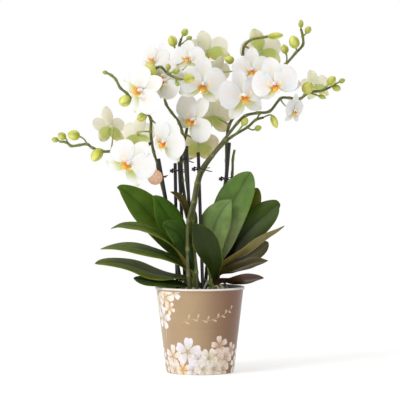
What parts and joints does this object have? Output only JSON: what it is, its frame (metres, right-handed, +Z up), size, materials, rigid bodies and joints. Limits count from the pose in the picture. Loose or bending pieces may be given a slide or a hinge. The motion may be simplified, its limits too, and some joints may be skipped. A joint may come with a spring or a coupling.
{
  "type": "potted moth orchid",
  "caption": "Potted moth orchid: strap leaves, staked arching flower spikes with open flowers and buds, in a grow pot of bark inside a tapered glazed cover pot.",
  "frame": {"origin": "centre of the cover pot's foot, on the surface the pot stands on", "axes": "+Z up along the pot's axis; -Y towards the viewer of the plant's best side, where most flowers face; +X to that viewer's right"},
  "size_m": [0.3282, 0.1004, 0.3945],
  "materials": {
    "glaze": "satin",
    "grow_pot": "smooth",
    "bark": "rough",
    "crown": "smooth living tissue",
    "leaf": "waxy, semi-gloss",
    "stem": "waxy",
    "petal": "soft, velvety",
    "stake": "smooth",
    "clip": "glossy",
    "tag": "smooth"
  },
  "bodies": {
    "root": {"pot_cover": "glaze", "grow_pot": "grow_pot", "bark": "bark", "crown_left": "crown", "crown_right": "crown", "tag_disc": "tag", "flower_01": "petal", "flower_02": "petal", "flower_03": "petal", "flower_04": "petal", "flower_05": "petal", "flower_06": "petal", "flower_07": "petal", "flower_08": "petal", "flower_09": "petal", "flower_10": "petal", "flower_11": "petal", "flower_12": "petal", "flower_13": "petal", "flower_14": "petal", "flower_15": "petal", "flower_16": "petal", "flower_17": "petal", "flower_18": "petal", "flower_19": "petal", "flower_20": "petal", "leaf_left_1": "leaf", "leaf_left_2": "leaf", "leaf_left_3": "leaf", "leaf_left_4": "leaf", "leaf_left_5": "leaf", "leaf_left_6": "leaf", "leaf_left_7": "leaf", "leaf_right_1": "leaf", "leaf_right_2": "leaf", "leaf_right_3": "leaf", "leaf_right_4": "leaf", "leaf_right_5": "leaf", "leaf_right_6": "leaf", "leaf_right_7": "leaf", "leaf_right_8": "leaf", "leaf_right_9": "leaf", "leaf_young_1": "leaf", "leaf_young_2": "leaf", "spike_left": "stem", "spike_mid": "stem", "spike_top": "stem", "spike_right": "stem", "spike_long": "stem", "spike_short": "stem", "stake_left": "stake", "stake_mid_a": "stake", "stake_mid_b": "stake", "stake_mid_right": "stake", "stake_centre": "stake", "stake_right": "stake", "clip_centre": "clip", "clip_mid_left": "clip", "clip_mid_right": "clip", "clip_right": "clip"}
  },
  "joints": []
}
